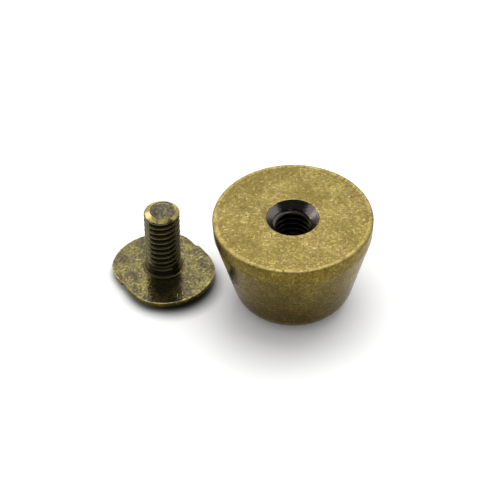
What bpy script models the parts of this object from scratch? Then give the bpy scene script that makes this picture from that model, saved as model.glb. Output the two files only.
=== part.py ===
"""Cone spike stud: a blunt metal cone with a tapped hole, and the slotted screw that holds it on.

The two pieces stand apart on one flat surface: the cone on its narrow end with the broad face up,
and the screw on its head with the thread up. Units are metres and +Z is up. The origin is the
middle of the cone's narrow end, and +X points from the screw's side towards the cone's.
"""

import bmesh
import bpy
from math import acos, atan2, ceil, cos, hypot, pi, radians, sin, sqrt, tan
from mathutils import Vector

MM = 0.001

# Thread of the screw, and what the tapped hole is larger by on its radius
PITCH = 0.5 * MM
THREAD_DIAMETER = 2.7 * MM
THREAD_PLAY = 0.17 * MM
RUN_OUT = 0.4 * MM

# Cone
CONE_DIAMETER = 12.0 * MM
CONE_HEIGHT = 8.0 * MM
BAND_HEIGHT = 1.26 * MM
BAND_DRAFT = 0.06 * MM
NARROW_DIAMETER = 8.18 * MM
FACE_EDGE_RADIUS = 0.27 * MM
BAND_BLEND_RADIUS = 0.87 * MM
NARROW_EDGE_RADIUS = 2.1 * MM

# Hole in the cone's broad face
COUNTERSINK_DIAMETER = 4.0 * MM
HOLE_DEPTH = 5.6 * MM
UNTAPPED_DEPTH = 0.5 * MM
DRILL_POINT_ANGLE = radians(118)

# Shank of the screw
SHANK_LENGTH = 5.7 * MM
PLAIN_NECK = 0.46 * MM
NECK_DIAMETER = 2.66 * MM
FOOT_FILLET = 0.16 * MM
TIP_DIAMETER = 2.0 * MM
TIP_CHAMFER = 0.24 * MM
TIP_FILL = 0.3 * MM
TIP_DISH_DEPTH = 0.15 * MM
TIP_DISH_FLOOR_DIAMETER = 1.7 * MM

# Head of the screw, which was upset a little off the shank's axis
HEAD_DIAMETER = 7.85 * MM
HEAD_OFFSET = (-0.17 * MM, -0.20 * MM)
HEAD_FLAT_DIAMETER = 4.8 * MM
RIM_THICKNESS = 0.38 * MM
RIM_LIFT = 0.37 * MM
RIM_EDGE_RADIUS = 0.09 * MM
SLOT_WIDTH = 0.85 * MM
SLOT_FLOOR = 0.22 * MM
SLOT_END_DENT = 0.45 * MM
DENT_SPREAD = radians(45)

# Where the screw stands beside the cone, and how its slot is turned
SCREW_PLACE = (-9.83 * MM, 2.78 * MM)
SLOT_TURN = radians(33.8)

# Smoothness of the round forms
TURNED_SIDES = 72
THREAD_SIDES = 32
ARC_STEP = radians(13)
SHARP_ANGLE = radians(30)
DOME_STEPS = 4
SAME_POINT = 0.0001 * MM
CUTTER_SPARE = 0.5 * MM

# A 60 degree thread form: its depth in pitches, and its corners as shares of pitch and depth
THREAD_DEPTH = 0.5413 * PITCH
THREAD_FORM = ((0, 1), (1 / 8, 1), (7 / 16, 0), (11 / 16, 0))

CREST_RADIUS = THREAD_DIAMETER / 2
ROOT_RADIUS = CREST_RADIUS - THREAD_DEPTH
HEAD_THICKNESS = RIM_LIFT + RIM_THICKNESS


def metal(name, colour, roughness):
    """A Principled material for bare plated metal."""
    material = bpy.data.materials.new(name)
    material.use_nodes = True
    shader = material.node_tree.nodes["Principled BSDF"]
    shader.inputs["Base Color"].default_value = (*colour, 1)
    shader.inputs["Metallic"].default_value = 1
    shader.inputs["Roughness"].default_value = roughness
    material.diffuse_color = (*colour, 1)
    return material


def finished(name, builder, material):
    """Make a named object from a bmesh, with its faces outwards."""
    bmesh.ops.remove_doubles(builder, verts=builder.verts, dist=SAME_POINT)
    bmesh.ops.recalc_face_normals(builder, faces=builder.faces)
    mesh = bpy.data.meshes.new(name)
    builder.to_mesh(mesh)
    builder.free()
    mesh.materials.append(material)
    piece = bpy.data.objects.new(name, mesh)
    bpy.context.collection.objects.link(piece)
    return piece


def cut(piece, cutter):
    """Take a cutter's shape out of a piece, then shade its round sides smooth and its edges sharp."""
    boolean = piece.modifiers.new(cutter.name, "BOOLEAN")
    boolean.operation = "DIFFERENCE"
    boolean.object = cutter
    whole = piece.data
    evaluated = piece.evaluated_get(bpy.context.evaluated_depsgraph_get())
    piece.data = bpy.data.meshes.new_from_object(evaluated)
    piece.modifiers.clear()
    piece.data.shade_smooth()
    piece.data.set_sharp_from_angle(angle=SHARP_ANGLE)
    bpy.data.objects.remove(cutter, do_unlink=True)
    bpy.data.meshes.remove(whole)


def rounded(corners):
    """Turn (radius, height, rounding) corners into an outline with an arc at each rounding."""
    points = []
    for number, (x, z, rounding) in enumerate(corners):
        corner = Vector((x, z))
        if rounding == 0:
            points.append(corner)
            continue
        back = (Vector(corners[number - 1][:2]) - corner).normalized()
        ahead = (Vector(corners[number + 1][:2]) - corner).normalized()
        half_angle = acos(back.dot(ahead)) / 2
        centre = corner + (back + ahead).normalized() * rounding / sin(half_angle)
        start = corner + back * rounding / tan(half_angle) - centre
        end = corner + ahead * rounding / tan(half_angle) - centre
        turn = start.angle_signed(end)
        steps = ceil(abs(turn) / ARC_STEP)
        for step in range(steps + 1):
            angle = turn * step / steps
            points.append(centre + Vector((
                start.x * cos(angle) + start.y * sin(angle),
                start.y * cos(angle) - start.x * sin(angle),
            )))
    return points


def turned(builder, outline, sides):
    """Spin an outline of (radius, height) points round the Z axis."""
    verts = [builder.verts.new((x, 0, z)) for x, z in outline]
    edges = [builder.edges.new(pair) for pair in zip(verts, verts[1:])]
    bmesh.ops.spin(builder, geom=verts + edges, axis=(0, 0, 1), cent=(0, 0, 0),
                   angle=2 * pi, steps=sides, use_merge=True)


def threaded(builder, low, high, crest, root, trimmed):
    """Add a threaded wall between two heights.

    Each corner of the thread form is a row of points that climbs by one pitch in a turn, so after
    the last side a row meets the same corner one turn up. trimmed(radius, height) shapes the ends.
    """
    turns = ceil((high - low) / PITCH) + 2
    margin = PITCH / THREAD_SIDES / 2
    columns = []
    for side in range(THREAD_SIDES):
        around = side / THREAD_SIDES
        outwards = Vector((cos(2 * pi * around), sin(2 * pi * around), 0))
        lowest = builder.verts.new(outwards * trimmed(root, low) + Vector((0, 0, low)))
        highest = builder.verts.new(outwards * trimmed(root, high) + Vector((0, 0, high)))
        column = []
        for turn in range(turns):
            for share, depth in THREAD_FORM:
                z = low + PITCH * (turn - 1 + share + around)
                if z < low + margin:
                    column.append(lowest)
                elif z > high - margin:
                    column.append(highest)
                else:
                    radius = trimmed(root + (crest - root) * depth, z)
                    column.append(builder.verts.new(outwards * radius + Vector((0, 0, z))))
        columns.append(column)
    one_turn = len(THREAD_FORM)
    columns.append(columns[0][one_turn:] + columns[0][-1:] * one_turn)
    faces = []
    for column, following in zip(columns, columns[1:]):
        for row in range(len(column) - 1):
            corners = (column[row], following[row], following[row + 1], column[row + 1])
            corners = list(dict.fromkeys(corners))
            if len(corners) > 2:
                faces.append(builder.faces.new(corners))
    bmesh.ops.triangulate(builder, faces=faces)


def open_edges(builder, height):
    """The edges at one height that have a face on one side only."""
    return [edge for edge in builder.edges
            if edge.is_boundary and all(abs(vert.co.z - height) < SAME_POINT for vert in edge.verts)]


def ramp(height, start, end):
    """0 at start, 1 at end and a straight climb between them."""
    return min(max((height - start) / (end - start), 0), 1)


def make_hole():
    """The cutter for the cone's hole: drill point, tapped length and countersink."""
    crest = CREST_RADIUS + THREAD_PLAY
    root = ROOT_RADIUS + THREAD_PLAY
    mouth = COUNTERSINK_DIAMETER / 2
    shoulder = CONE_HEIGHT - HOLE_DEPTH
    low = shoulder + UNTAPPED_DEPTH
    high = CONE_HEIGHT - (mouth - crest)

    def trimmed(radius, z):
        tapped = root + (radius - root) * ramp(z, low, low + RUN_OUT)
        return max(tapped, mouth - (CONE_HEIGHT - z))

    builder = bmesh.new()
    turned(builder, [
        (0, shoulder - root / tan(DRILL_POINT_ANGLE / 2)),
        (root, shoulder),
        (root, low),
    ], THREAD_SIDES)
    threaded(builder, low, high, crest, root, trimmed)
    turned(builder, [
        (crest, high),
        (mouth + CUTTER_SPARE, CONE_HEIGHT + CUTTER_SPARE),
        (0, CONE_HEIGHT + CUTTER_SPARE),
    ], THREAD_SIDES)
    return finished("tapped_hole", builder, metal("hole_wall", (0.10, 0.08, 0.04), 0.5))


def make_cone():
    """The spike: a shallow band under the broad face, then a straight taper to a rounded end."""
    builder = bmesh.new()
    turned(builder, rounded([
        (0, CONE_HEIGHT, 0),
        (CONE_DIAMETER / 2, CONE_HEIGHT, FACE_EDGE_RADIUS),
        (CONE_DIAMETER / 2 - BAND_DRAFT, CONE_HEIGHT - BAND_HEIGHT, BAND_BLEND_RADIUS),
        (NARROW_DIAMETER / 2, 0, NARROW_EDGE_RADIUS),
        (0, 0, 0),
    ]), TURNED_SIDES)
    cone = finished("cone", builder, metal("cone_brass", (0.42, 0.34, 0.15), 0.42))
    cut(cone, make_hole())
    return cone


def press_dents(verts):
    """Draw the rim in where the slot runs out of it, as pressing the slot does."""
    rim = HEAD_DIAMETER / 2
    keep = HEAD_FLAT_DIAMETER / 2
    for vert in verts:
        distance = hypot(vert.co.x, vert.co.y)
        from_slot = atan2(abs(vert.co.y), abs(vert.co.x))
        if distance > keep and from_slot < DENT_SPREAD:
            dent = SLOT_END_DENT * cos(from_slot / DENT_SPREAD * pi / 2) ** 2
            scale = 1 - dent * (distance - keep) / (rim - keep) / distance
            vert.co.x *= scale
            vert.co.y *= scale


def add_head(builder):
    """The head from the middle of its low dome up over the rim, left open on its inner side."""
    rim = HEAD_DIAMETER / 2
    flat = HEAD_FLAT_DIAMETER / 2
    dome_radius = ((rim - flat) ** 2 + RIM_LIFT ** 2) / (2 * RIM_LIFT)
    outline = []
    for step in range(DOME_STEPS):
        out = (rim - flat) * step / DOME_STEPS
        outline.append((flat + out, dome_radius - sqrt(dome_radius ** 2 - out ** 2), 0))
    turned(builder, rounded(outline + [
        (rim, RIM_LIFT, RIM_EDGE_RADIUS),
        (rim, HEAD_THICKNESS, RIM_EDGE_RADIUS),
        (rim - 3 * RIM_EDGE_RADIUS, HEAD_THICKNESS, 0),
    ]), TURNED_SIDES)
    press_dents(builder.verts)
    bmesh.ops.contextual_create(builder, geom=open_edges(builder, 0))
    bmesh.ops.translate(builder, verts=builder.verts, vec=(*HEAD_OFFSET, 0))


def make_slot():
    """The cutter for the screwdriver slot, open at both sides of the head."""
    builder = bmesh.new()
    bmesh.ops.create_cube(builder, size=1)
    for vert in builder.verts:
        vert.co.x *= HEAD_DIAMETER + 2 * CUTTER_SPARE
        vert.co.y *= SLOT_WIDTH
        vert.co.z = HEAD_THICKNESS - SLOT_FLOOR if vert.co.z > 0 else -CUTTER_SPARE
    return finished("screwdriver_slot", builder, metal("slot_wall", (0.20, 0.17, 0.08), 0.5))


def make_screw():
    """The screw, standing on its head with the shank on its Z axis and the slot along its X axis.

    Rolling the thread fills the last groove up to the chamfer and leaves the shank's end dished.
    """
    neck = NECK_DIAMETER / 2
    tip = TIP_DIAMETER / 2
    low = HEAD_THICKNESS + FOOT_FILLET + PLAIN_NECK
    high = HEAD_THICKNESS + SHANK_LENGTH
    chamfer_slope = (CREST_RADIUS - tip) / TIP_CHAMFER

    def trimmed(radius, z):
        rolled = neck + (radius - neck) * ramp(z, low, low + RUN_OUT)
        filled = ramp(z, high - TIP_CHAMFER - TIP_FILL, high - TIP_CHAMFER)
        rolled += (CREST_RADIUS - rolled) * filled
        return min(rolled, tip + (high - z) * chamfer_slope)

    builder = bmesh.new()
    add_head(builder)
    turned(builder, rounded([
        (neck + 2 * FOOT_FILLET, HEAD_THICKNESS, 0),
        (neck, HEAD_THICKNESS, FOOT_FILLET),
        (neck, low, 0),
    ]), THREAD_SIDES)
    bmesh.ops.bridge_loops(builder, edges=open_edges(builder, HEAD_THICKNESS))
    threaded(builder, low, high, CREST_RADIUS, ROOT_RADIUS, trimmed)
    turned(builder, [
        (tip, high),
        (TIP_DISH_FLOOR_DIAMETER / 2, high - TIP_DISH_DEPTH),
        (0, high - TIP_DISH_DEPTH),
    ], THREAD_SIDES)
    screw = finished("screw", builder, metal("screw_brass", (0.33, 0.28, 0.12), 0.45))
    cut(screw, make_slot())
    return screw


def main():
    """Clear the scene and stand the two pieces side by side."""
    for old in list(bpy.data.objects):
        bpy.data.objects.remove(old, do_unlink=True)
    make_cone()
    screw = make_screw()
    screw.location = (*SCREW_PLACE, 0)
    screw.rotation_euler.z = SLOT_TURN


main()
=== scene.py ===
"""The looks of a cone spike stud: a blunt brass cone with a tapped hole, and its slotted screw.

Both pieces stand on a white table, the cone on its narrow end and the screw on its head. Shapes
are drawn in millimetres and brought to metres at the end of each piece's node tree.
"""

from math import cos, pi, radians, sin, tan

import bmesh
import bpy
import numpy as np
from mathutils import Matrix, Vector


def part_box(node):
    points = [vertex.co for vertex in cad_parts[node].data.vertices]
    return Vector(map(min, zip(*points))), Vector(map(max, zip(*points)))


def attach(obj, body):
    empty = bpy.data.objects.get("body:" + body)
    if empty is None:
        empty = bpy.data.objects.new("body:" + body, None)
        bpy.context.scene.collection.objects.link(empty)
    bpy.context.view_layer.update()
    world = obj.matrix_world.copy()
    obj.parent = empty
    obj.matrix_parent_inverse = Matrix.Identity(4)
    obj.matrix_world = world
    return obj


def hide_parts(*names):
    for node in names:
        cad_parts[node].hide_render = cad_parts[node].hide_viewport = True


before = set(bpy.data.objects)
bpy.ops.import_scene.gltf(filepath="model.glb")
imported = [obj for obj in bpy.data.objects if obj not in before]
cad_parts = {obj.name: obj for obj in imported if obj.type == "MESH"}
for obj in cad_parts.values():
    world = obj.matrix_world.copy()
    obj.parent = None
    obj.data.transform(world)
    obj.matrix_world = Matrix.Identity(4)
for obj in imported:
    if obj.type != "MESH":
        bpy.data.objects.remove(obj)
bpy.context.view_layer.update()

# The cone
# A solid brass cone with its tip cut off, turned from bar, drilled from its broad face, countersunk
# and tapped. It was blackened and then tumbled, which brought the brass back on all but the hole.

MM = 0.001
cone_low, cone_high = (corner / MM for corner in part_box("cone"))
CONE_HEIGHT = cone_high.z - cone_low.z
FACE_RADIUS = 6.0
FACE_EDGE_ROUNDING = 0.22
FACE_EDGE_STEPS = 9
EDGE_WEAR_END = 0.8
EDGE_SHADE_START = 0.6
EDGE_SHADE_FULL = 1.2
BAND_HEIGHT = 1.26
BAND_DRAFT = 0.06
BAND_ROUNDING = 0.87
NARROW_RADIUS = 4.09
NARROW_ROUNDING = 2.1
MOUTH_RADIUS = 2.0
MOUTH_ROUNDING = 0.05
MOUTH_EDGE = 0.06
HOLE_DEPTH = 5.6
UNTAPPED_DEPTH = 0.5
DRILL_POINT_HALF_ANGLE = radians(59)

THREAD_PITCH = 0.5
THREAD_ROOT_FLAT = 0.15
THREAD_CREST_FLAT = 0.14
HOLE_OUTER_RADIUS = 1.52
HOLE_INNER_RADIUS = 1.25
HOLE_THREAD_START = radians(125)
CONE_SIDES = 192
CONE_SHARP_ANGLE = radians(35)

# How far a surface's colour is changed from the open faces: SHADED and DIM are two further steps of
# colour, DARK is the patina left in grooves and the countersink, and BLACK the inside of the hole
OPEN, SHADED, DIM, DARK, BLACK = range(5)


def add(tree, kind, feeds=None, **options):
    """Add a node, set its options, and feed its inputs from other nodes' outputs or plain values."""
    made = tree.nodes.new(kind)
    for option, value in options.items():
        setattr(made, option, value)
    for name, value in (feeds or {}).items():
        if isinstance(value, bpy.types.NodeSocket):
            tree.links.new(value, made.inputs[name])
        else:
            made.inputs[name].default_value = value
    return made


def maths(tree, operation, *terms):
    """The output of a Math node on two or three numbers or sockets."""
    return add(tree, "ShaderNodeMath", dict(enumerate(terms)), operation=operation).outputs[0]


def between(tree, value, low, high, to_low=0.0, to_high=1.0, way="LINEAR"):
    """The output of a clamped Map Range node."""
    return add(tree, "ShaderNodeMapRange", {
        "Value": value, "From Min": low, "From Max": high, "To Min": to_low, "To Max": to_high,
    }, interpolation_type=way).outputs["Result"]


def new_tree(name, kind, inputs, outputs):
    """A node group with named sockets, as (tree, its input sockets, its output sockets)."""
    tree = bpy.data.node_groups.new(name, kind)
    for side, sockets in (("INPUT", inputs), ("OUTPUT", outputs)):
        for socket, form in sockets.items():
            tree.interface.new_socket(name=socket, in_out=side, socket_type="NodeSocket" + form)
    given = tree.nodes.new("NodeGroupInput").outputs
    result = tree.nodes.new("NodeGroupOutput").inputs
    return tree, given, result


def grid_of(tree, columns, rows):
    """A grid with the given numbers of columns and rows, and each vertex's column and row."""
    grid = add(tree, "GeometryNodeMeshGrid", {"Vertices X": columns, "Vertices Y": rows})
    index = add(tree, "GeometryNodeInputIndex").outputs[0]
    column = maths(tree, "FLOOR", maths(tree, "DIVIDE", maths(tree, "ADD", index, 0.5), rows))
    row = maths(tree, "SUBTRACT", index, maths(tree, "MULTIPLY", column, rows))
    return grid.outputs["Mesh"], column, row


def attribute(tree, name):
    """The output of a Named Attribute node that reads a number."""
    return add(tree, "GeometryNodeInputNamedAttribute", {"Name": name},
               data_type="FLOAT").outputs["Attribute"]


def stored(tree, geometry, name, value):
    """Geometry with a number stored on its points."""
    return add(tree, "GeometryNodeStoreNamedAttribute",
               {"Geometry": geometry, "Name": name, "Value": value},
               data_type="FLOAT", domain="POINT").outputs["Geometry"]


def make_turning():
    """Rounds the corners of an outline and turns it round the Z axis, as a lathe does."""
    tree, given, result = new_tree("turning", "GeometryNodeTree", {
        "Outline": "Geometry", "Sides": "Int", "Arc points": "Int", "Longest step": "Float",
        "Wear reach": "Float",
    }, {"Mesh": "Geometry"})
    outline = add(tree, "GeometryNodeMeshToCurve", {"Mesh": given["Outline"]}).outputs["Curve"]
    outline = add(tree, "GeometryNodeFilletCurve", {
        "Curve": outline, "Radius": attribute(tree, "rounding"), "Count": given["Arc points"],
        "Limit Radius": True,
    }, mode="POLY").outputs["Curve"]

    # Long stretches get more points, so that later dents and waves have something to bend
    position = add(tree, "GeometryNodeInputPosition").outputs[0]
    index = add(tree, "GeometryNodeInputIndex").outputs[0]
    following = add(tree, "GeometryNodeFieldAtIndex", {
        "Value": position, "Index": maths(tree, "ADD", index, 1),
    }, data_type="FLOAT_VECTOR", domain="POINT").outputs["Value"]
    gap = add(tree, "ShaderNodeVectorMath", {0: position, 1: following}, operation="DISTANCE")
    cuts = maths(tree, "FLOOR", maths(tree, "DIVIDE", gap.outputs["Value"], given["Longest step"]))
    outline = add(tree, "GeometryNodeSubdivideCurve", {"Curve": outline, "Cuts": cuts})
    outline = add(tree, "GeometryNodeCurveToMesh", {"Curve": outline.outputs["Curve"]}).outputs["Mesh"]

    rows = add(tree, "GeometryNodeAttributeDomainSize", {"Geometry": outline}).outputs["Point Count"]
    columns = maths(tree, "ADD", given["Sides"], 1)
    mesh, column, row = grid_of(tree, columns, rows)
    place = add(tree, "GeometryNodeSampleIndex", {"Geometry": outline, "Value": position, "Index": row},
                data_type="FLOAT_VECTOR", domain="POINT").outputs["Value"]
    shelter = add(tree, "GeometryNodeSampleIndex", {
        "Geometry": outline, "Value": attribute(tree, "shelter"), "Index": row,
    }, data_type="FLOAT", domain="POINT").outputs["Value"]
    angle = maths(tree, "MULTIPLY", maths(tree, "DIVIDE", column, given["Sides"]), 2 * pi)
    turned = add(tree, "ShaderNodeVectorRotate", {"Vector": place, "Angle": angle},
                 rotation_type="Z_AXIS").outputs["Vector"]
    mesh = add(tree, "GeometryNodeSetPosition", {"Geometry": mesh, "Position": turned})
    mesh = stored(tree, mesh.outputs["Geometry"], "shelter", shelter)

    # Wear fades with the distance from the nearest corner that is marked as worn
    plain = maths(tree, "LESS_THAN", attribute(tree, "worn"), 0.5)
    worn_corners = add(tree, "GeometryNodeDeleteGeometry", {
        "Geometry": given["Outline"], "Selection": plain,
    }, domain="POINT").outputs["Geometry"]
    away = add(tree, "GeometryNodeProximity", {"Geometry": worn_corners, "Sample Position": place},
               target_element="POINTS").outputs["Distance"]
    worn = between(tree, away, 0, given["Wear reach"], 1, 0)
    tree.links.new(stored(tree, mesh, "worn", worn), result["Mesh"])
    return tree


def make_threading():
    """A threaded wall between two heights, with a run-out at its low end and a chamfer at its high end.

    The last groove of an outer thread fills up towards the chamfer, as rolling leaves it.

    Each row of points climbs by one pitch in a turn, so the last column meets the first one again
    a turn further up. Rows that would pass an end stop at it and are merged there.
    """
    tree, given, result = new_tree("threading", "GeometryNodeTree", {
        "Sides": "Int", "Rows a turn": "Int", "Pitch": "Float", "Outer radius": "Float",
        "Inner radius": "Float", "Low": "Float", "High": "Float", "Low radius": "Float",
        "Run-out": "Float", "Fill": "Float", "High radius": "Float", "High slope": "Float",
        "Chamfer": "Float", "Inside": "Bool",
    }, {"Mesh": "Geometry"})
    length = maths(tree, "SUBTRACT", given["High"], given["Low"])
    turns = maths(tree, "ADD", maths(tree, "CEIL", maths(tree, "DIVIDE", length, given["Pitch"])), 2)
    rows = maths(tree, "MULTIPLY_ADD", turns, given["Rows a turn"], 1)
    mesh, column, row = grid_of(tree, maths(tree, "ADD", given["Sides"], 1), rows)

    around = maths(tree, "DIVIDE", column, given["Sides"])
    share = maths(tree, "DIVIDE", row, given["Rows a turn"])
    climb = maths(tree, "SUBTRACT", maths(tree, "ADD", share, around), 1)
    height = maths(tree, "MULTIPLY_ADD", climb, given["Pitch"], given["Low"])
    height = maths(tree, "MINIMUM", maths(tree, "MAXIMUM", height, given["Low"]), given["High"])

    # The form of one turn: a flat at the outer radius and one at the inner radius, with even flanks
    wave = maths(tree, "ABSOLUTE",
                 maths(tree, "MULTIPLY_ADD", maths(tree, "FRACT", share), 2, -1))
    form = between(tree, wave, THREAD_ROOT_FLAT, 1 - THREAD_CREST_FLAT, way="SMOOTHSTEP")
    depth = maths(tree, "SUBTRACT", given["Outer radius"], given["Inner radius"])
    radius = maths(tree, "MULTIPLY_ADD", depth, form, given["Inner radius"])

    run_out = between(tree, height, given["Low"], maths(tree, "ADD", given["Low"], given["Run-out"]))
    grown = maths(tree, "SUBTRACT", radius, given["Low radius"])
    radius = maths(tree, "MULTIPLY_ADD", grown, run_out, given["Low radius"])
    chamfer_low = maths(tree, "SUBTRACT", given["High"], given["Chamfer"])
    fill_low = maths(tree, "SUBTRACT", chamfer_low, given["Fill"])
    filled = between(tree, height, fill_low, chamfer_low)
    lacking = maths(tree, "SUBTRACT", given["Outer radius"], radius)
    radius = maths(tree, "MULTIPLY_ADD", lacking, filled, radius)
    left = maths(tree, "SUBTRACT", given["High"], height)
    cone = maths(tree, "MULTIPLY_ADD", left, given["High slope"], given["High radius"])
    trimmed = add(tree, "GeometryNodeSwitch", {
        "Switch": given["Inside"], "False": maths(tree, "MINIMUM", radius, cone),
        "True": maths(tree, "MAXIMUM", radius, cone),
    }, input_type="FLOAT").outputs["Output"]

    angle = maths(tree, "MULTIPLY", around, 2 * pi)
    place = add(tree, "ShaderNodeCombineXYZ", {
        "X": maths(tree, "MULTIPLY", trimmed, maths(tree, "COSINE", angle)),
        "Y": maths(tree, "MULTIPLY", trimmed, maths(tree, "SINE", angle)),
        "Z": height,
    }).outputs["Vector"]
    mesh = add(tree, "GeometryNodeSetPosition", {"Geometry": mesh, "Position": place})

    # The chamfer of an outer thread is rubbed bright and its crests are rubbed a little. Its grooves
    # stay dark, its run-out is darker still, and the hole turns black within its first turn.
    trimming_shown = 0.03
    chamfer_wear, crest_wear, crest_start = 0.97, 0.09, 0.7
    run_out_shade = 0.7
    black_start, black_full = 0.12, 0.30
    chamfered = between(tree, maths(tree, "SUBTRACT", radius, cone), 0, trimming_shown, 0, chamfer_wear)
    crest = maths(tree, "MULTIPLY", between(tree, form, crest_start, 1, 0, crest_wear), run_out)
    outer_worn = maths(tree, "MAXIMUM", crest, chamfered)
    outer_shelter = maths(tree, "MULTIPLY", maths(tree, "SUBTRACT", 1, outer_worn), DARK)
    outer_shelter = maths(tree, "ADD", outer_shelter, between(tree, run_out, 0, 1, run_out_shade, 0))
    inner_shelter = between(tree, left, black_start, black_full, DARK, BLACK)
    for name, outer, inner in (("worn", outer_worn, 0.0), ("shelter", outer_shelter, inner_shelter)):
        chosen = add(tree, "GeometryNodeSwitch", {
            "Switch": given["Inside"], "False": outer, "True": inner,
        }, input_type="FLOAT").outputs["Output"]
        mesh = stored(tree, mesh if name == "shelter" else mesh.outputs["Geometry"], name, chosen)
    tree.links.new(mesh, result["Mesh"])
    return tree


def make_threaded_piece():
    """Two turned outlines joined by a threaded wall, made slightly uneven, as tumbling leaves them."""
    turning, threading = make_turning(), make_threading()
    turning_sizes = {
        "Sides": "Int", "Arc points": "Int", "Longest step": "Float", "Wear reach": "Float",
    }
    threading_sizes = {item.name: item.socket_type.removeprefix("NodeSocket")
                       for item in threading.interface.items_tree if item.in_out == "INPUT"}
    tree, given, result = new_tree("threaded_piece", "GeometryNodeTree", {
        "Outlines": "Geometry", **turning_sizes, **threading_sizes,
        "Unevenness": "Float", "Wave length": "Float", "Seed": "Float", "Material": "Material",
    }, {"Geometry": "Geometry"})
    second = maths(tree, "GREATER_THAN", attribute(tree, "second"), 0.5)
    parts = add(tree, "GeometryNodeSeparateGeometry",
                {"Geometry": given["Outlines"], "Selection": second}, domain="POINT")
    joined = add(tree, "GeometryNodeJoinGeometry")
    for outline in ("Selection", "Inverted"):
        turned = add(tree, "GeometryNodeGroup", node_tree=turning)
        tree.links.new(parts.outputs[outline], turned.inputs["Outline"])
        for size in turning_sizes:
            tree.links.new(given[size], turned.inputs[size])
        tree.links.new(turned.outputs["Mesh"], joined.inputs["Geometry"])
    threaded = add(tree, "GeometryNodeGroup", node_tree=threading)
    for size in threading_sizes:
        tree.links.new(given[size], threaded.inputs[size])
    tree.links.new(threaded.outputs["Mesh"], joined.inputs["Geometry"])
    merge_distance = 0.004
    mesh = add(tree, "GeometryNodeMergeByDistance", {
        "Geometry": joined.outputs["Geometry"], "Distance": merge_distance,
    }).outputs["Geometry"]

    position = add(tree, "GeometryNodeInputPosition").outputs[0]
    noise = add(tree, "ShaderNodeTexNoise", {
        "Vector": position, "W": given["Seed"], "Detail": 2.0,
        "Scale": maths(tree, "DIVIDE", 1, given["Wave length"]),
    }, noise_dimensions="4D").outputs["Color"]
    push = add(tree, "ShaderNodeVectorMath", {0: noise, 1: (0.5,) * 3}, operation="SUBTRACT")
    push = add(tree, "ShaderNodeVectorMath", {
        0: push.outputs["Vector"], "Scale": given["Unevenness"],
    }, operation="SCALE")
    mesh = add(tree, "GeometryNodeSetPosition", {"Geometry": mesh, "Offset": push.outputs["Vector"]})
    mesh = add(tree, "GeometryNodeTransform", {
        "Geometry": mesh.outputs["Geometry"], "Scale": (MM,) * 3,
    })
    mesh = add(tree, "GeometryNodeSetShadeSmooth", {"Geometry": mesh.outputs["Geometry"]})
    mesh = add(tree, "GeometryNodeRealizeInstances", {"Geometry": mesh.outputs["Geometry"]})
    mesh = add(tree, "GeometryNodeSetMaterial", {
        "Geometry": mesh.outputs["Geometry"], "Material": given["Material"],
    })
    tree.links.new(mesh.outputs["Geometry"], result["Geometry"])
    return tree


def outlines(first, second):
    """Two outlines as edges, from corners of (radius, height, rounding, worn, shelter)."""
    mesh = bpy.data.meshes.new("outlines")
    corners = first + second
    edges = [(number, number + 1) for number in range(len(corners) - 1) if number != len(first) - 1]
    mesh.from_pydata([(x, 0, z) for x, z, *_ in corners], edges, [])
    marks = {
        "rounding": [corner[2] for corner in corners],
        "worn": [corner[3] for corner in corners],
        "shelter": [corner[4] for corner in corners],
        "second": [0.0] * len(first) + [1.0] * len(second),
    }
    for name, values in marks.items():
        mesh.attributes.new(name, "FLOAT", "POINT").data.foreach_set("value", values)
    return mesh


def run_tree(name, tree, mesh, sizes):
    """Run a node tree on a mesh with named sizes, and keep what it makes as a plain mesh."""
    piece = bpy.data.objects.new(name, mesh)
    bpy.context.collection.objects.link(piece)
    modifier = piece.modifiers.new("build", "NODES")
    modifier.node_group = tree
    for item in tree.interface.items_tree:
        if item.in_out == "INPUT" and item.name in sizes:
            modifier[item.identifier] = sizes[item.name]
    evaluated = piece.evaluated_get(bpy.context.evaluated_depsgraph_get())
    piece.data = bpy.data.meshes.new_from_object(evaluated)
    piece.modifiers.remove(modifier)
    bpy.data.meshes.remove(mesh)
    return piece


def close_up(piece, sharp_angle):
    """Merge what touches, turn all faces outwards, and mark the sharp edges."""
    touching = 0.0001 * MM
    builder = bmesh.new()
    builder.from_mesh(piece.data)
    bmesh.ops.remove_doubles(builder, verts=builder.verts, dist=touching)
    bmesh.ops.recalc_face_normals(builder, faces=builder.faces)
    builder.to_mesh(piece.data)
    builder.free()
    piece.data.shade_smooth()
    piece.data.set_sharp_from_angle(angle=sharp_angle)


def make_clouds():
    """An uneven tone, as patina has it, about one half on the average."""
    noise_low, noise_high = 0.25, 0.75
    tree, given, result = new_tree("clouds", "ShaderNodeTree", {
        "Vector": "Vector", "Size": "Float", "Detail": "Float", "Seed": "Float",
    }, {"Mask": "Float"})
    noise = add(tree, "ShaderNodeTexNoise", {
        "Vector": given["Vector"], "W": given["Seed"], "Detail": given["Detail"], "Roughness": 0.6,
        "Scale": maths(tree, "DIVIDE", 1, given["Size"]),
    }, noise_dimensions="4D").outputs["Fac"]
    tree.links.new(between(tree, noise, noise_low, noise_high), result["Mask"])
    return tree


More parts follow.
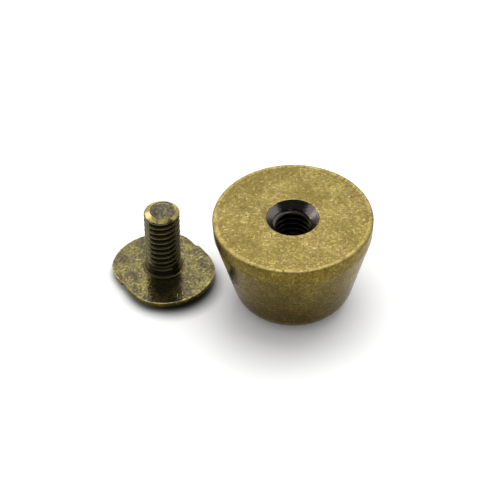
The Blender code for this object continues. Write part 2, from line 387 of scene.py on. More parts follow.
def make_tumbling_marks():
    """Short curved strokes, where a noise passes its middle value, broken up by a second noise."""
    noise_middle = 0.5
    second_seed, second_scale = 7.3, 1.4
    gap_low, gap_high = 0.56, 0.68
    tree, given, result = new_tree("tumbling_marks", "ShaderNodeTree", {
        "Vector": "Vector", "Length": "Float", "Width": "Float", "Share": "Float", "Seed": "Float",
    }, {"Mask": "Float"})
    waves = add(tree, "ShaderNodeTexNoise", {
        "Vector": given["Vector"], "W": given["Seed"], "Detail": 1.0, "Roughness": 0.5,
        "Distortion": 0.4, "Scale": maths(tree, "DIVIDE", 1, given["Length"]),
    }, noise_dimensions="4D").outputs["Fac"]
    from_middle = maths(tree, "ABSOLUTE", maths(tree, "SUBTRACT", waves, noise_middle))
    line = between(tree, from_middle, 0, given["Width"], 1, 0, way="SMOOTHSTEP")
    gaps = add(tree, "ShaderNodeTexNoise", {
        "Vector": given["Vector"], "W": maths(tree, "ADD", given["Seed"], second_seed), "Detail": 1.0,
        "Scale": maths(tree, "DIVIDE", second_scale, given["Length"]),
    }, noise_dimensions="4D").outputs["Fac"]
    kept = between(tree, gaps, maths(tree, "SUBTRACT", gap_low, given["Share"]),
                   maths(tree, "SUBTRACT", gap_high, given["Share"]))
    tree.links.new(maths(tree, "MULTIPLY", line, kept), result["Mask"])
    return tree


def make_scratches():
    """Short scratches, one to a cell, each with its own direction and strength, bent a little.

    They crowd in some places and are few in others.
    """
    bend_share = 0.35
    taper_start, taper_end = 0.3, 0.55
    crowd_scale, crowd_low, crowd_high = 0.3, 0.35, 0.65
    fewest, most = 0.2, 1.8
    strong_share = 0.4
    tree, given, result = new_tree("scratches", "ShaderNodeTree", {
        "Vector": "Vector", "Spacing": "Float", "Width": "Float", "Share": "Float", "Seed": "Float",
    }, {"Mask": "Float"})
    seeded = add(tree, "ShaderNodeVectorMath", {0: given["Vector"], 1: given["Seed"]}, operation="ADD")
    seeded = seeded.outputs["Vector"]
    bend = add(tree, "ShaderNodeTexNoise", {
        "Vector": seeded, "Detail": 0.0, "Scale": maths(tree, "DIVIDE", 1, given["Spacing"]),
    }).outputs["Color"]
    bent = add(tree, "ShaderNodeVectorMath", {
        0: bend, 1: maths(tree, "MULTIPLY", given["Spacing"], bend_share), 2: seeded,
    }, operation="MULTIPLY_ADD").outputs["Vector"]
    cells = add(tree, "ShaderNodeTexVoronoi", {
        "Vector": bent, "Randomness": 1.0, "Scale": maths(tree, "DIVIDE", 1, given["Spacing"]),
    }, voronoi_dimensions="3D").outputs
    from_centre = add(tree, "ShaderNodeVectorMath", {0: bent, 1: cells["Position"]},
                      operation="SUBTRACT").outputs["Vector"]
    facing = add(tree, "ShaderNodeVectorMath", {0: cells["Color"], 1: (0.5,) * 3}, operation="SUBTRACT")
    facing = add(tree, "ShaderNodeVectorMath", {0: facing.outputs["Vector"]}, operation="NORMALIZE")
    across = add(tree, "ShaderNodeVectorMath", {0: from_centre, 1: facing.outputs["Vector"]},
                 operation="DOT_PRODUCT").outputs["Value"]
    line = between(tree, maths(tree, "ABSOLUTE", across), 0, given["Width"], 1, 0, way="SMOOTHSTEP")
    away = add(tree, "ShaderNodeVectorMath", {0: from_centre}, operation="LENGTH").outputs["Value"]
    away = maths(tree, "DIVIDE", away, given["Spacing"])
    ended = between(tree, away, taper_start, taper_end, 1, 0)
    chance = add(tree, "ShaderNodeTexWhiteNoise", {"Vector": cells["Position"]}).outputs["Value"]
    crowding = add(tree, "ShaderNodeTexNoise", {
        "Vector": seeded, "Detail": 2.0, "Scale": maths(tree, "DIVIDE", crowd_scale, given["Spacing"]),
    }).outputs["Fac"]
    crowding = between(tree, crowding, crowd_low, crowd_high, fewest, most)
    share = maths(tree, "MULTIPLY", given["Share"], crowding)
    kept = between(tree, chance, maths(tree, "MULTIPLY", share, strong_share), share, 1, 0)
    mask = maths(tree, "MULTIPLY", maths(tree, "MULTIPLY", line, ended), kept)
    tree.links.new(mask, result["Mask"])
    return tree


def make_specks():
    """Small spots that gather in clusters."""
    core_share = 0.5
    cluster_scale, cluster_low, cluster_high = 0.25, 0.62, 0.72
    tree, given, result = new_tree("specks", "ShaderNodeTree", {
        "Vector": "Vector", "Spacing": "Float", "Spot": "Float", "Share": "Float", "Seed": "Float",
    }, {"Mask": "Float"})
    cells = add(tree, "ShaderNodeTexVoronoi", {
        "Vector": given["Vector"], "W": given["Seed"], "Randomness": 1.0,
        "Scale": maths(tree, "DIVIDE", 1, given["Spacing"]),
    }, voronoi_dimensions="4D").outputs["Distance"]
    core = maths(tree, "MULTIPLY", given["Spot"], core_share)
    spots = between(tree, cells, core, given["Spot"], 1, 0)
    clusters = add(tree, "ShaderNodeTexNoise", {
        "Vector": given["Vector"], "W": given["Seed"], "Detail": 2.0,
        "Scale": maths(tree, "DIVIDE", cluster_scale, given["Spacing"]),
    }, noise_dimensions="4D").outputs["Fac"]
    kept = between(tree, clusters, maths(tree, "SUBTRACT", cluster_low, given["Share"]),
                   maths(tree, "SUBTRACT", cluster_high, given["Share"]))
    tree.links.new(maths(tree, "MULTIPLY", spots, kept), result["Mask"])
    return tree


def make_edge_wear():
    """Bright metal along worn edges, with a ragged border."""
    noise_middle = 0.5
    tree, given, result = new_tree("edge_wear", "ShaderNodeTree", {
        "Vector": "Vector", "Worn": "Float", "Start": "Float", "Full": "Float", "Raggedness": "Float",
    }, {"Mask": "Float"})
    ragged = add(tree, "ShaderNodeTexNoise", {
        "Vector": given["Vector"], "Scale": 2.6, "Detail": 3.0, "Roughness": 0.65,
    }).outputs["Fac"]
    shift = maths(tree, "SUBTRACT", ragged, noise_middle)
    shift = maths(tree, "MULTIPLY", shift, given["Raggedness"])
    worn = maths(tree, "ADD", given["Worn"], shift)
    tree.links.new(between(tree, worn, given["Start"], given["Full"], way="SMOOTHSTEP"), result["Mask"])
    return tree


def make_turning_rings():
    """Fine rings about the Z axis, which a turning tool leaves."""
    noise_low, noise_high = 0.3, 0.7
    tree, given, result = new_tree("turning_rings", "ShaderNodeTree", {
        "Vector": "Vector", "Spacing": "Float",
    }, {"Mask": "Float"})
    flat = add(tree, "ShaderNodeVectorMath", {0: given["Vector"], 1: (1, 1, 0)}, operation="MULTIPLY")
    radius = add(tree, "ShaderNodeVectorMath", {0: flat.outputs["Vector"]}, operation="LENGTH")
    rings = add(tree, "ShaderNodeTexNoise", {
        "W": maths(tree, "DIVIDE", radius.outputs["Value"], given["Spacing"]),
        "Scale": 1.0, "Detail": 1.0,
    }, noise_dimensions="1D").outputs["Fac"]
    tree.links.new(between(tree, rings, noise_low, noise_high), result["Mask"])
    return tree


clouds = make_clouds()
tumbling_marks = make_tumbling_marks()
scratches = make_scratches()
specks = make_specks()
edge_wear = make_edge_wear()
turning_rings = make_turning_rings()


def placed(tree, group, **values):
    """A node group in a material, with this material's own values, as the output of its mask."""
    made = tree.nodes.new("ShaderNodeGroup")
    made.node_tree = group
    for name, value in values.items():
        socket = made.inputs[name.replace("_", " ")]
        if isinstance(value, bpy.types.NodeSocket):
            tree.links.new(value, socket)
        else:
            socket.default_value = value
    return made.outputs["Mask"]


def blended(tree, share, under, over, way="MIX"):
    """Mix two colours, each a socket or a plain colour, by a mask."""
    # A Mix node has its two colours at inputs 6 and 7, and their mix at output 2
    made = add(tree, "ShaderNodeMix", data_type="RGBA", blend_type=way)
    tree.links.new(share, made.inputs["Factor"])
    for slot, colour in ((6, under), (7, over)):
        if isinstance(colour, bpy.types.NodeSocket):
            tree.links.new(colour, made.inputs[slot])
        else:
            made.inputs[slot].default_value = (*colour, 1)
    return made.outputs[2]


def tumbled_brass(name, finish):
    """Blackened brass that tumbling has rubbed bright again, with the values of one piece's finish.

    The "shelter" attribute runs from OPEN on the faces through SHADED and DIM to DARK in grooves
    and the countersink, and BLACK down the hole.
    """
    ring_spacing = 0.09
    mark_depth = 0.02
    material = bpy.data.materials.new(name)
    material.use_nodes = True
    tree = material.node_tree
    shader = tree.nodes["Principled BSDF"]
    coordinates = add(tree, "ShaderNodeTexCoord").outputs["Object"]
    vector = add(tree, "ShaderNodeMapping", {"Vector": coordinates, "Scale": (1 / MM,) * 3}).outputs[0]
    worn = add(tree, "ShaderNodeAttribute", attribute_name="worn").outputs["Fac"]
    shelter = add(tree, "ShaderNodeAttribute", attribute_name="shelter").outputs["Fac"]

    # One tone from dark to light gathers the patina and the marks, each with its own weight
    weights = finish["weights"]
    masks = {
        "patches": placed(tree, clouds, Vector=vector, **finish["patches"]),
        "grain": placed(tree, clouds, Vector=vector, **finish["grain"]),
        "strokes": placed(tree, tumbling_marks, Vector=vector, **finish["strokes"]),
        "scratches": placed(tree, scratches, Vector=vector, **finish["scratches"]),
        "hairlines": placed(tree, scratches, Vector=vector, **finish["hairlines"]),
        "scores": placed(tree, scratches, Vector=vector, **finish["scores"]),
        "specks": placed(tree, specks, Vector=vector, **finish["specks"]),
        "wear": placed(tree, edge_wear, Vector=vector, Worn=worn, **finish["wear"]),
    }
    tone = finish["tone"]
    for mask, weight in weights.items():
        tone = maths(tree, "MULTIPLY_ADD", masks[mask], weight, tone)

    colour = blended(tree, between(tree, tone, 0, 0.5), finish["dark"], finish["middle"])
    colour = blended(tree, between(tree, tone, 0.5, 1), colour, finish["light"])
    tarnish = placed(tree, clouds, Vector=vector, **finish["tarnish"])
    colour = blended(tree, tarnish, colour, finish["tarnish_tint"], "MULTIPLY")
    for step, shade in enumerate(finish["shades"]):
        colour = blended(tree, between(tree, shelter, step, step + 1), colour, shade, "MULTIPLY")
    in_recess = between(tree, shelter, DIM, DARK)
    rings = placed(tree, turning_rings, Vector=vector, Spacing=ring_spacing)
    recess = blended(tree, rings, finish["recess_dark"], finish["recess_light"])
    colour = blended(tree, in_recess, colour, recess)
    colour = blended(tree, between(tree, shelter, DARK, BLACK), colour, finish["bore"])
    tree.links.new(colour, shader.inputs["Base Color"])
    open_metal, dark_metal = finish["metal"]
    shader.inputs["Metallic"].default_value = open_metal
    if dark_metal != open_metal:
        metal = between(tree, shelter, (SHADED + DIM) / 2, DARK, open_metal, dark_metal)
        tree.links.new(metal, shader.inputs["Metallic"])
    shader.inputs["Specular Tint"].default_value = (*finish["edge_tint"], 1)
    roughness = between(tree, tone, 0, 1, *finish["rough"])
    roughness = maths(tree, "MULTIPLY_ADD", masks["wear"], finish["wear_rough"], roughness)
    roughness = between(tree, in_recess, 0, 1, roughness, finish["recess_rough"])
    tree.links.new(roughness, shader.inputs["Roughness"])

    bump = add(tree, "ShaderNodeBump", {
        "Height": tone, "Strength": finish["bump"], "Distance": mark_depth * MM,
    })
    tree.links.new(bump.outputs["Normal"], shader.inputs["Normal"])
    return material


cone_brass = tumbled_brass("cone_brass", {
    "patches": {"Size": 1.7, "Detail": 3.0, "Seed": 3.0},
    "grain": {"Size": 0.18, "Detail": 2.0, "Seed": 5.0},
    "strokes": {"Length": 0.42, "Width": 0.07, "Share": 0.06, "Seed": 11.0},
    "scratches": {"Spacing": 0.62, "Width": 0.06, "Share": 0.5, "Seed": 13.0},
    "hairlines": {"Spacing": 0.34, "Width": 0.05, "Share": 0.5, "Seed": 17.0},
    "scores": {"Spacing": 0.5, "Width": 0.06, "Share": 0.5, "Seed": 23.0},
    "specks": {"Spacing": 0.3, "Spot": 0.3, "Share": 0.0, "Seed": 5.0},
    "wear": {"Start": 0.35, "Full": 0.95, "Raggedness": 0.7},
    "tone": -0.10,
    "weights": {
        "patches": 0.54, "grain": 0.68, "strokes": 0.36, "scratches": 0.46, "hairlines": 0.38,
        "scores": -0.42, "specks": 0.4, "wear": 0.30,
    },
    "dark": (0.146, 0.111, 0.028),
    "middle": (0.260, 0.203, 0.052),
    "light": (0.49, 0.40, 0.13),
    "tarnish": {"Size": 1.1, "Detail": 3.0, "Seed": 29.0},
    "tarnish_tint": (0.90, 0.84, 1.10),
    "edge_tint": (0.97, 0.90, 0.80),
    "shades": ((0.53, 0.51, 0.32), (0.50, 0.46, 0.36)),
    "recess_dark": (0.12, 0.105, 0.10),
    "recess_light": (0.19, 0.17, 0.165),
    "metal": (1.0, 1.0),
    "bore": (0.014, 0.012, 0.007),
    "rough": (0.32, 0.24),
    "wear_rough": 0.35,
    "recess_rough": 0.22,
    "bump": 0.4,
})

threaded_piece = make_threaded_piece()
countersink_low = CONE_HEIGHT - (MOUTH_RADIUS - HOLE_OUTER_RADIUS)
hole_bottom = CONE_HEIGHT - HOLE_DEPTH
thread_low = hole_bottom + UNTAPPED_DEPTH
face_edge = []
for step in range(FACE_EDGE_STEPS + 1):
    lean = pi / 2 * (1 - step / FACE_EDGE_STEPS)
    shade = (lean - EDGE_SHADE_START) / (EDGE_SHADE_FULL - EDGE_SHADE_START)
    face_edge.append((
        FACE_RADIUS - FACE_EDGE_ROUNDING * (1 - sin(lean)),
        CONE_HEIGHT - FACE_EDGE_ROUNDING * (1 - cos(lean)),
        0, 1 if lean < EDGE_WEAR_END else 0, min(max(shade, OPEN), SHADED),
    ))
# The cone's side is darker than its face, and darker still towards its narrow end
cone_outlines = outlines([
    (0, 0, 0, 0, SHADED),
    (NARROW_RADIUS, 0, NARROW_ROUNDING, 0, DIM),
    (FACE_RADIUS - BAND_DRAFT, CONE_HEIGHT - BAND_HEIGHT, BAND_ROUNDING, 0, SHADED),
    *face_edge,
    (MOUTH_RADIUS, CONE_HEIGHT, MOUTH_ROUNDING, 0, OPEN),
    (MOUTH_RADIUS - MOUTH_EDGE, CONE_HEIGHT - MOUTH_EDGE, 0, 0, DARK),
    (HOLE_OUTER_RADIUS, countersink_low, 0, 0, DARK),
], [
    (HOLE_INNER_RADIUS, thread_low, 0, 0, BLACK),
    (HOLE_INNER_RADIUS, hole_bottom, 0, 0, BLACK),
    (0, hole_bottom - HOLE_INNER_RADIUS / tan(DRILL_POINT_HALF_ANGLE), 0, 0, BLACK),
])
cone = run_tree("brass_cone", threaded_piece, cone_outlines, {
    "Sides": CONE_SIDES,
    "Arc points": 9,
    "Longest step": 0.2,
    "Wear reach": 0.3,
    "Rows a turn": 12,
    "Pitch": THREAD_PITCH,
    "Outer radius": HOLE_OUTER_RADIUS,
    "Inner radius": HOLE_INNER_RADIUS,
    "Low": thread_low,
    "High": countersink_low,
    "Low radius": HOLE_INNER_RADIUS,
    "Run-out": 0.4,
    "Fill": 0.0,
    "High radius": HOLE_OUTER_RADIUS,
    "High slope": -1.0,
    "Chamfer": 0.0,
    "Inside": True,
    "Unevenness": 0.015,
    "Wave length": 0.9,
    "Seed": 1.0,
    "Material": cone_brass,
})
cone.data.transform(Matrix.Rotation(HOLE_THREAD_START, 4, "Z"))
close_up(cone, CONE_SHARP_ANGLE)
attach(cone, "root")
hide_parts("cone")

# The screw
# A brass screw with a low domed head, cold-headed in one piece and its thread rolled on. Pressing
# the driver slot drew the rim in where the slot runs out. It is blackened and tumbled as the cone is.

screw_low, screw_high = (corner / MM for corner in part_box("screw"))
SCREW_HEIGHT = screw_high.z - screw_low.z
SCREW_PLACE = Vector((-9.83, 2.78, 0))
SLOT_TURN = radians(33.8)

HEAD_RADIUS = 3.94
HEAD_OFFSET = Vector((-0.17, -0.20))
HEAD_FLAT_RADIUS = 2.4
HEAD_THICKNESS = 0.75
RIM_THICKNESS = 0.38
RIM_ROUNDING = 0.05
RIM_SHADE_DROP = 0.02
DOME_STEPS = 4
DOME_SHADE = 0.5

NECK_RADIUS = 1.33
FOOT_ROUNDING = 0.16
FOOT_STEPS = 7
FOOT_BORDER = 0.15
FOOT_SHADE = 1.8
FOOT_DARKEST = 3.3
FOOT_DARKENING = 6
PLAIN_NECK = 0.46
NECK_SHADE = 2.9
NECK_SHADE_LIFT = 0.06
SHANK_OUTER_RADIUS = 1.35
SHANK_INNER_RADIUS = 1.08
TIP_RADIUS = 1.0
TIP_EDGE_ROUNDING = 0.03
TIP_EDGE_SHADE = 0.2
TIP_CHAMFER = 0.24
TIP_FILL = 0.3
TIP_DISH_DEPTH = 0.07
TIP_DISH_FLOOR = 0.89
TIP_DISH_ROUNDING = 0.08
TIP_DISH_SHADE = 2.1
SCREW_SIDES = 216
SCREW_SHARP_ANGLE = radians(40)

SLOT_WIDTH = 0.85
SLOT_DEPTH = 0.53
CUTTER_SPARE = 1

screw_brass = tumbled_brass("screw_brass", {
    "patches": {"Size": 1.1, "Detail": 3.0, "Seed": 9.0},
    "grain": {"Size": 0.20, "Detail": 2.0, "Seed": 19.0},
    "strokes": {"Length": 0.42, "Width": 0.07, "Share": 0.02, "Seed": 31.0},
    "scratches": {"Spacing": 0.6, "Width": 0.06, "Share": 0.4, "Seed": 33.0},
    "hairlines": {"Spacing": 0.34, "Width": 0.05, "Share": 0.4, "Seed": 37.0},
    "scores": {"Spacing": 0.5, "Width": 0.07, "Share": 0.4, "Seed": 43.0},
    "specks": {"Spacing": 0.3, "Spot": 0.3, "Share": 0.04, "Seed": 15.0},
    "wear": {"Start": 0.4, "Full": 1.2, "Raggedness": 1.1},
    "tone": -0.17,
    "weights": {
        "patches": 0.70, "grain": 0.86, "strokes": 0.55, "scratches": 0.62, "hairlines": 0.62,
        "scores": -0.50, "specks": 0.5, "wear": 0.5,
    },
    "dark": (0.068, 0.065, 0.030),
    "middle": (0.164, 0.156, 0.066),
    "light": (0.405, 0.38, 0.108),
    "tarnish": {"Size": 0.8, "Detail": 3.0, "Seed": 47.0},
    "tarnish_tint": (0.98, 0.79, 1.34),
    "edge_tint": (1.0, 0.92, 0.70),
    "shades": ((0.46, 0.41, 0.10), (1.5, 1.75, 10.0)),
    "recess_dark": (0.030, 0.026, 0.010),
    "recess_light": (0.050, 0.043, 0.016),
    "metal": (0.96, 0.7),
    "bore": (0.012, 0.010, 0.006),
    "rough": (0.16, 0.14),
    "wear_rough": 0.08,
    "recess_rough": 0.12,
    "bump": 0.25,
})

rim_lift = HEAD_THICKNESS - RIM_THICKNESS
dome_width = HEAD_RADIUS - HEAD_FLAT_RADIUS
dome_radius = (dome_width ** 2 + rim_lift ** 2) / (2 * rim_lift)
dome = []
for step in range(DOME_STEPS):
    out = dome_width * step / DOME_STEPS
    rise = dome_radius - (dome_radius ** 2 - out ** 2) ** 0.5
    dome.append((HEAD_FLAT_RADIUS + out, rise, 0, 0, DOME_SHADE))
neck_top = HEAD_THICKNESS + FOOT_ROUNDING + PLAIN_NECK
dish_height = SCREW_HEIGHT - TIP_DISH_DEPTH
foot = []
for step in range(FOOT_STEPS + 1):
    lean = pi / 2 * step / FOOT_STEPS
    foot.append((
        NECK_RADIUS + FOOT_ROUNDING * (1 - sin(lean)), HEAD_THICKNESS + FOOT_ROUNDING * (1 - cos(lean)),
        0, 0, min(FOOT_SHADE + FOOT_DARKENING * lean, FOOT_DARKEST),
    ))
screw_outlines = outlines([
    (0, 0, 0, 0, DOME_SHADE),
    *dome,
    (HEAD_RADIUS, rim_lift, RIM_ROUNDING, 0, SHADED),
    (HEAD_RADIUS, HEAD_THICKNESS - RIM_ROUNDING - RIM_SHADE_DROP, 0, 0, SHADED),
    (HEAD_RADIUS, HEAD_THICKNESS, RIM_ROUNDING, 1, OPEN),
    (NECK_RADIUS + FOOT_ROUNDING + FOOT_BORDER, HEAD_THICKNESS, 0, 0, OPEN),
    *foot,
    (NECK_RADIUS, HEAD_THICKNESS + FOOT_ROUNDING + NECK_SHADE_LIFT, 0, 0, NECK_SHADE),
    (NECK_RADIUS, neck_top, 0, 0, DARK),
], [
    (TIP_RADIUS, SCREW_HEIGHT, TIP_EDGE_ROUNDING, 1, TIP_EDGE_SHADE),
    (TIP_DISH_FLOOR, dish_height, TIP_DISH_ROUNDING, 0, TIP_DISH_SHADE),
    (0, dish_height, 0, 0, DIM),
])
screw = run_tree("brass_screw", threaded_piece, screw_outlines, {
    "Sides": SCREW_SIDES,
    "Arc points": 7,
    "Longest step": 0.15,
    "Wear reach": 0.08,
    "Rows a turn": 16,
    "Pitch": THREAD_PITCH,
    "Outer radius": SHANK_OUTER_RADIUS,
    "Inner radius": SHANK_INNER_RADIUS,
    "Low": neck_top,
    "High": SCREW_HEIGHT,
    "Low radius": NECK_RADIUS,
    "Run-out": 0.55,
    "Fill": TIP_FILL,
    "High radius": TIP_RADIUS,
    "High slope": (SHANK_OUTER_RADIUS - TIP_RADIUS) / TIP_CHAMFER,
    "Chamfer": TIP_CHAMFER,
    "Inside": False,
    "Unevenness": 0.015,
    "Wave length": 0.9,
    "Seed": 2.0,
    "Material": screw_brass,
})

# Pressing the slot draws the rim in at both of its ends, leaves burrs beside the left one and a step
# beside the right one. The head was upset out of round, and both it and the tip a little off axis.
LEFT_DENT = 0.50
RIGHT_DENT = 0.33
DENT_SPREAD = radians(44)
LEFT_STEP = 0.05
LEFT_STEP_SLOPE = 0.12
BURRS = ((0.44, 0.03), (-0.48, 0.06))
BURR_WIDTH = 0.12
RIGHT_STEP = 0.16
RIGHT_STEP_SLOPE = 0.06
RIGHT_STEP_FADE = 0.6
RIGHT_STEP_END = 2.0
OVAL = 0.03
OVAL_TURN = radians(-47)
SHIFT_START = 1.7
SHIFT_FULL = 3.0
TIP_SHIFT = Vector((0.11, 0.0))
MARGIN = 0.1


def smooth(value, low, high):
    """0 below low, 1 above high, and an even S between them."""
    share = np.clip((value - low) / (high - low), 0, 1)
    return share * share * (3 - 2 * share)


points = np.empty(len(screw.data.vertices) * 3, np.float32)
screw.data.vertices.foreach_get("co", points)
x, y, z = (points.reshape(-1, 3) / MM).T.astype(float)
distance = np.hypot(x, y)
angle = np.arctan2(y, x)
on_head = (z < HEAD_THICKNESS + MARGIN).astype(float)
outwards = smooth(distance, HEAD_FLAT_RADIUS, HEAD_RADIUS) * on_head
across = y + HEAD_OFFSET.y
from_slot = np.arctan2(np.abs(y), np.abs(x))
dent = np.where(x < 0, LEFT_DENT, RIGHT_DENT)
drawn_in = dent * np.cos(np.minimum(from_slot / DENT_SPREAD, 1) * pi / 2) ** 2
past_slot = smooth(np.abs(across), SLOT_WIDTH / 2 - LEFT_STEP_SLOPE, SLOT_WIDTH / 2)
drawn_in += LEFT_STEP * (1 - past_slot) * (x < 0)
for place, burr in BURRS:
    drawn_in -= burr * np.exp(-((across - place) / BURR_WIDTH) ** 2) * (x < 0)
past_slot = smooth(across, SLOT_WIDTH / 2 - RIGHT_STEP_SLOPE, SLOT_WIDTH / 2)
past_slot *= 1 - smooth(across, RIGHT_STEP_FADE, RIGHT_STEP_END)
drawn_in += RIGHT_STEP * past_slot * (x > 0) - OVAL * np.cos(2 * (angle - OVAL_TURN))
scale = 1 - outwards * drawn_in / np.maximum(distance, MARGIN)
shift = smooth(distance, SHIFT_START, SHIFT_FULL) * on_head
x = x * scale + HEAD_OFFSET.x * shift
y = y * scale + HEAD_OFFSET.y * shift
tip = smooth(z, SCREW_HEIGHT - TIP_CHAMFER - MARGIN, dish_height)
turned_shift = Matrix.Rotation(-SLOT_TURN, 2) @ TIP_SHIFT
x += turned_shift.x * tip
y += turned_shift.y * tip
points = (np.stack((x, y, z), axis=1) * MM).astype(np.float32)
screw.data.vertices.foreach_set("co", points.ravel())
close_up(screw, SCREW_SHARP_ANGLE)

# The driver slot is cut out of the head's outer side, which stands on the table
cutter_mesh = bpy.data.meshes.new("slot_cutter")
builder = bmesh.new()
bmesh.ops.create_cube(builder, size=1)
for vert in builder.verts:
    vert.co.x *= 2 * (HEAD_RADIUS + CUTTER_SPARE)
    vert.co.y *= SLOT_WIDTH
    vert.co.z = SLOT_DEPTH if vert.co.z > 0 else -CUTTER_SPARE
bmesh.ops.scale(builder, vec=(MM,) * 3, verts=builder.verts)
builder.to_mesh(cutter_mesh)
builder.free()
cutter = bpy.data.objects.new("slot_cutter", cutter_mesh)
bpy.context.collection.objects.link(cutter)
boolean = screw.modifiers.new("slot", "BOOLEAN")
boolean.operation = "DIFFERENCE"
boolean.object = cutter
evaluated = screw.evaluated_get(bpy.context.evaluated_depsgraph_get())
screw.data = bpy.data.meshes.new_from_object(evaluated)
screw.modifiers.clear()
bpy.data.objects.remove(cutter)
screw.data.materials.clear()
screw.data.materials.append(screw_brass)
screw.data.transform(Matrix.Translation(SCREW_PLACE * MM) @ Matrix.Rotation(SLOT_TURN, 4, "Z"))
close_up(screw, SCREW_SHARP_ANGLE)
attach(screw, "root")
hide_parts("screw")

# The table and the light
# A wide white table under a white sky, with two soft lamps above and behind the pieces and a third
# at the left. A dark card stands behind the camera, as bare metal shows what it faces.

TABLE_HALF = 1.5
TABLE_DROP = 0.02 * MM
TABLE_WHITE = 0.95
MATT_ROUGHNESS = 0.9
# A painted shadow on the table beside the front right of the screw's head: its offset, where it starts
# and ends, and its darkest colour
PAINTED_SHADOW_SHIFT = Vector((0.64, -1.02, 0))
PAINTED_SHADOW_START = -1.45
PAINTED_SHADOW_END = 0.5
PAINTED_SHADOW_WHITE = 0.03
# The table's glow, a painted light that lightens its shadows, from its strength beside the pieces to
# its strength far from them
LIFT_NEAR = 0.07
LIFT_FAR = 0.16
LIFT_REACH = 6
CARD_DISTANCE = 0.40
CARD_HALF_ANGLE = radians(75)
CARD_LOW = 0.12
CARD_HIGH = 0.80
CARD_STEPS = 16
CARD_GREY = 0.06
SKY_STRENGTH = 0.7
HORIZON_STRENGTH = 0.07
HORIZON_TOP = 0.15
SKY_START = 0.55


def background_rays(tree):
    """1 for rays that show the background: from the camera, and off or through a shiny surface."""
    path = add(tree, "ShaderNodeLightPath").outputs
    glossy = maths(tree, "MAXIMUM", path["Is Glossy Ray"], path["Is Transmission Ray"])
    return maths(tree, "MAXIMUM", path["Is Camera Ray"], glossy)


def matt_material(name):
    """A material without any shine, and its shader."""
    material = bpy.data.materials.new(name)
    material.use_nodes = True
    shader = material.node_tree.nodes["Principled BSDF"]
    shader.inputs["Roughness"].default_value = MATT_ROUGHNESS
    shader.inputs["Specular IOR Level"].default_value = 0.0
    return material, shader


def stage_mesh(name, verts, faces, material):
    """A mesh that only dresses the set."""
    mesh = bpy.data.meshes.new(name)
    mesh.from_pydata(verts, [], faces)
    mesh.materials.append(material)
    stage = bpy.data.objects.new(name, mesh)
    bpy.context.collection.objects.link(stage)
    return stage


def clearance(tree, place, radius):
    """How far a point of the table lies outside a circle."""
    point = add(tree, "ShaderNodeTexCoord").outputs["Object"]
    away = add(tree, "ShaderNodeVectorMath", {0: point, 1: place * MM}, operation="DISTANCE")
    return maths(tree, "SUBTRACT", away.outputs["Value"], radius * MM)


# A painted shadow darkens the table's colour beside the front right of the screw's rim. What the camera
# and the metal see of the table also glows faintly. This glow is a painted light that is weaker near
# the pieces and in the painted shadow, so that the table turns pure white.
table_white, shader = matt_material("table_white")
tree = table_white.node_tree
head_place = SCREW_PLACE + (Matrix.Rotation(SLOT_TURN, 2) @ HEAD_OFFSET).to_3d()
from_painted_shadow = clearance(tree, head_place + PAINTED_SHADOW_SHIFT, HEAD_RADIUS)
white = between(tree, from_painted_shadow, PAINTED_SHADOW_START * MM, PAINTED_SHADOW_END * MM, PAINTED_SHADOW_WHITE, TABLE_WHITE,
                way="SMOOTHSTEP")
tree.links.new(white, shader.inputs["Base Color"])
from_pieces = maths(tree, "MINIMUM", clearance(tree, Vector((0, 0, 0)), NARROW_RADIUS),
                    clearance(tree, head_place, HEAD_RADIUS))
lift = between(tree, from_pieces, 0, LIFT_REACH * MM, LIFT_NEAR, LIFT_FAR)
lift = maths(tree, "MULTIPLY", maths(tree, "MULTIPLY", background_rays(tree), lift), white)
shader.inputs["Emission Color"].default_value = (1, 1, 1, 1)
tree.links.new(lift, shader.inputs["Emission Strength"])
table_corners = [(TABLE_HALF * side, TABLE_HALF * end, -TABLE_DROP)
                 for side, end in ((-1, -1), (1, -1), (1, 1), (-1, 1))]
stage_mesh("table", table_corners, [(0, 1, 2, 3)], table_white)

# The card is a part of a cylinder round the pieces, and only the metal sees it
card_black, shader = matt_material("card_black")
shader.inputs["Base Color"].default_value = (*(CARD_GREY,) * 3, 1)
card_verts = []
for step in range(CARD_STEPS + 1):
    turn = -CARD_HALF_ANGLE + 2 * CARD_HALF_ANGLE * step / CARD_STEPS
    for height in (CARD_LOW, CARD_HIGH):
        card_verts.append((CARD_DISTANCE * sin(turn), -CARD_DISTANCE * cos(turn), height))
card_faces = [(low, low + 2, low + 3, low + 1) for low in range(0, 2 * CARD_STEPS, 2)]
card = stage_mesh("dark_card", card_verts, card_faces, card_black)
card.visible_camera = False
card.visible_diffuse = False
card.visible_shadow = False

# The sky is white wherever it is seen, and lights the table mostly from above
world = bpy.data.worlds.new("white_sky")
bpy.context.scene.world = world
world.use_nodes = True
tree = world.node_tree
sky = tree.nodes["Background"]
sky.inputs["Color"].default_value = (1, 1, 1, 1)
height = add(tree, "ShaderNodeTexCoord").outputs["Generated"]
height = add(tree, "ShaderNodeSeparateXYZ", {"Vector": height}).outputs["Z"]
lighting = between(tree, height, HORIZON_TOP, SKY_START, HORIZON_STRENGTH, SKY_STRENGTH)
shown = between(tree, background_rays(tree), 0, 1, lighting, 1.0)
tree.links.new(shown, sky.inputs["Strength"])


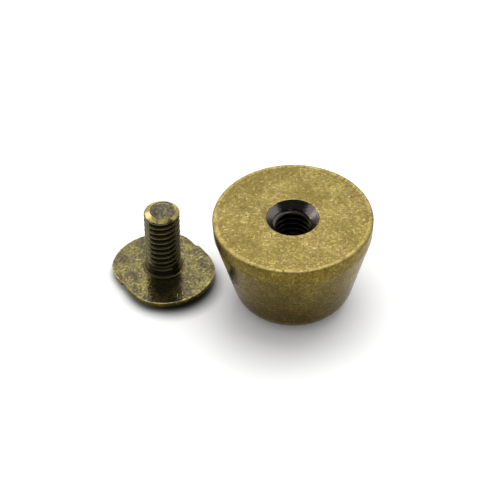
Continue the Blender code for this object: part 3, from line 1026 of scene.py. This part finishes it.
def soft_lamp(name, place, aim, size, watts):
    """A square soft box at a place, turned towards a point."""
    light = bpy.data.lights.new(name, "AREA")
    light.shape = "SQUARE"
    light.size = size
    light.energy = watts
    lamp = bpy.data.objects.new(name, light)
    lamp.location = place
    lamp.rotation_euler = (Vector(place) - Vector(aim)).to_track_quat("Z", "Y").to_euler()
    bpy.context.collection.objects.link(lamp)
    return lamp


# The first two lamps show only in the metal and the last only lights the table, so that the shadows
# and the reflections can each be as the photograph has them
sheen = soft_lamp("sheen", place=(0.0, 0.095, 0.28), aim=(0, 0.03, 0), size=0.22, watts=0.42)
sheen.visible_diffuse = False
window = soft_lamp("window", place=(-0.22, 0.15, 0.155), aim=(-0.01, 0.003, 0), size=0.16, watts=0.18)
window.visible_diffuse = False
key = soft_lamp("key", place=(0.035, 0.07, 0.29), aim=(0, 0, 0), size=0.24, watts=0.6)
key.visible_glossy = False

# The camera
# It looks down on the two pieces from the front, as the photograph does, with a long lens.

VIEW_ELEVATION = radians(43.03)
VIEW_ROLL = radians(-1.32)
VIEW_DISTANCE = 224.3 * MM
VIEW_CENTRE = Vector((-3.961, 6.232, 0)) * MM
FOCAL_PIXELS = 2888
PICTURE_PIXELS = 480
SENSOR_WIDTH = 36

back = Vector((0, -cos(VIEW_ELEVATION), sin(VIEW_ELEVATION)))
level_up = Vector((0, sin(VIEW_ELEVATION), cos(VIEW_ELEVATION)))
level_right = Vector((1, 0, 0))
right = cos(VIEW_ROLL) * level_right + sin(VIEW_ROLL) * level_up
up = cos(VIEW_ROLL) * level_up - sin(VIEW_ROLL) * level_right
placing = Matrix((right, up, back)).transposed().to_4x4()
placing.translation = VIEW_CENTRE + back * VIEW_DISTANCE

lens = bpy.data.cameras.new("camera")
lens.sensor_width = SENSOR_WIDTH
lens.lens = FOCAL_PIXELS * SENSOR_WIDTH / PICTURE_PIXELS
lens.clip_start = 1 * MM
lens.clip_end = 10
camera = bpy.data.objects.new("camera", lens)
camera.matrix_world = placing
bpy.context.collection.objects.link(camera)
bpy.context.scene.camera = camera
bpy.context.scene.view_settings.view_transform = "Standard"
